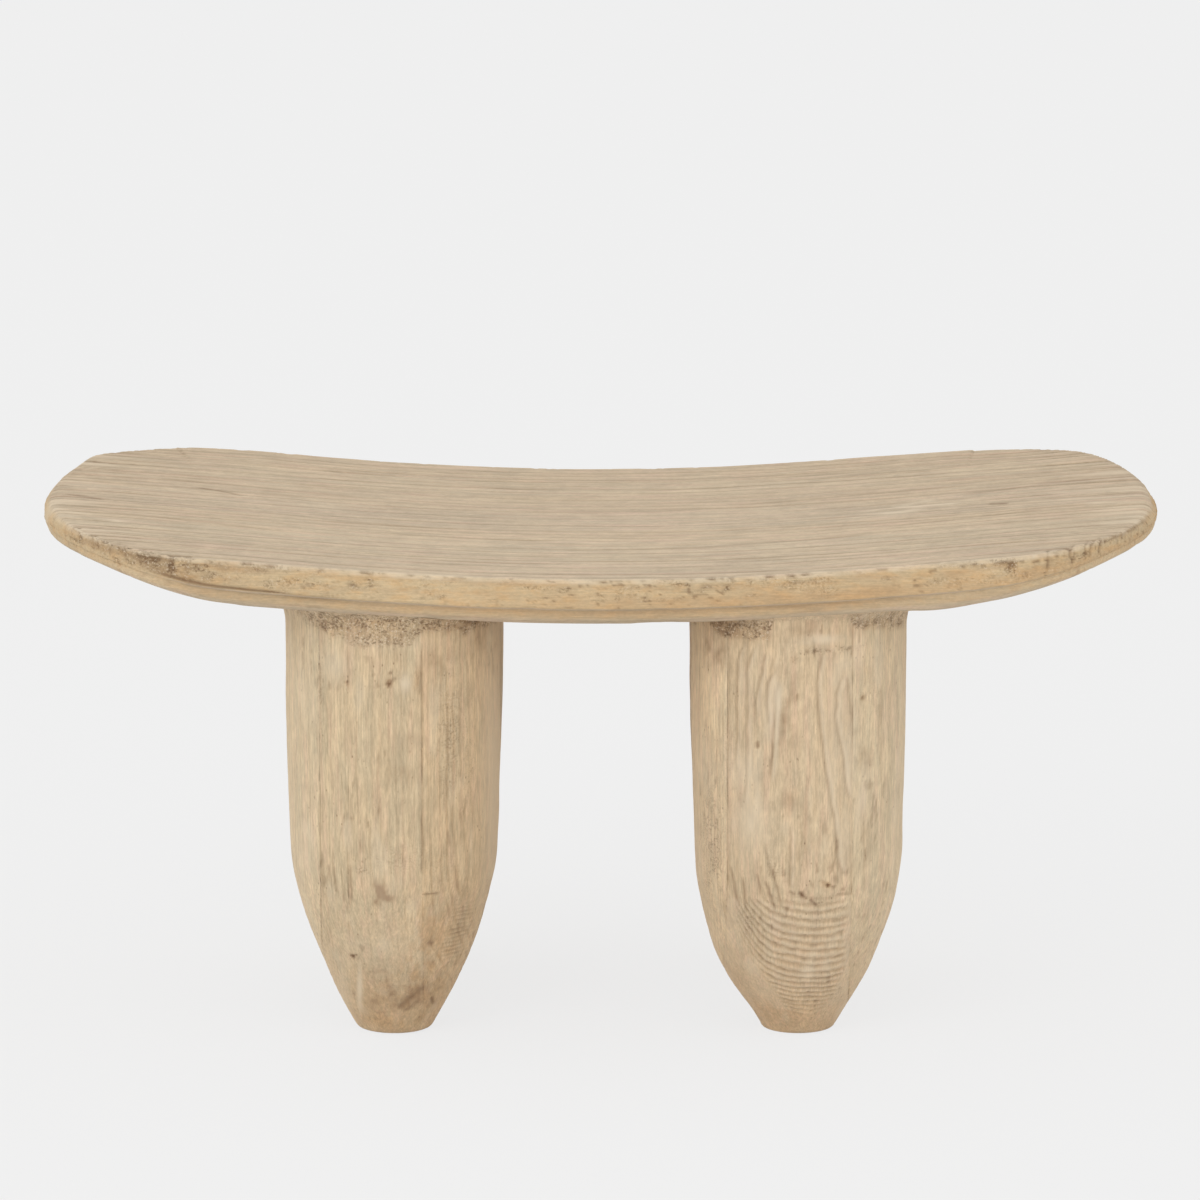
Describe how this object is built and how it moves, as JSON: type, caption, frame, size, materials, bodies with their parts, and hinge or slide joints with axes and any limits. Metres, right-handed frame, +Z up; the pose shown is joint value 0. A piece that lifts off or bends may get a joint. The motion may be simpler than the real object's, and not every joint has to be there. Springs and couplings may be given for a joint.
{
  "type": "stool",
  "caption": "Long low wooden stool with a dished seat on stout round legs that taper to bullet-shaped feet.",
  "frame": {"origin": "on the floor, under the middle of the seat", "axes": "+X along the seat, to the right as seen from the front; +Y from the front to the back; +Z up"},
  "size_m": [0.902, 0.418, 0.4204],
  "materials": {
    "seat_wood": "matte",
    "leg_wood": "matte"
  },
  "bodies": {
    "root": {"front_rim_board": "seat_wood", "front_outer_board": "seat_wood", "front_inner_board": "seat_wood", "middle_board": "seat_wood", "back_inner_board": "seat_wood", "back_outer_board": "seat_wood", "back_rim_board": "seat_wood", "front_left_leg_outer_plank": "leg_wood", "front_left_leg_thin_plank": "leg_wood", "front_left_leg_core": "leg_wood", "front_left_leg_inner_plank": "leg_wood", "front_right_leg_inner_plank": "leg_wood", "front_right_leg_core": "leg_wood", "front_right_leg_outer_plank": "leg_wood", "rear_left_leg_outer_plank": "leg_wood", "rear_left_leg_core": "leg_wood", "rear_left_leg_inner_plank": "leg_wood", "rear_right_leg_inner_plank": "leg_wood", "rear_right_leg_core": "leg_wood", "rear_right_leg_outer_plank": "leg_wood"}
  },
  "joints": []
}
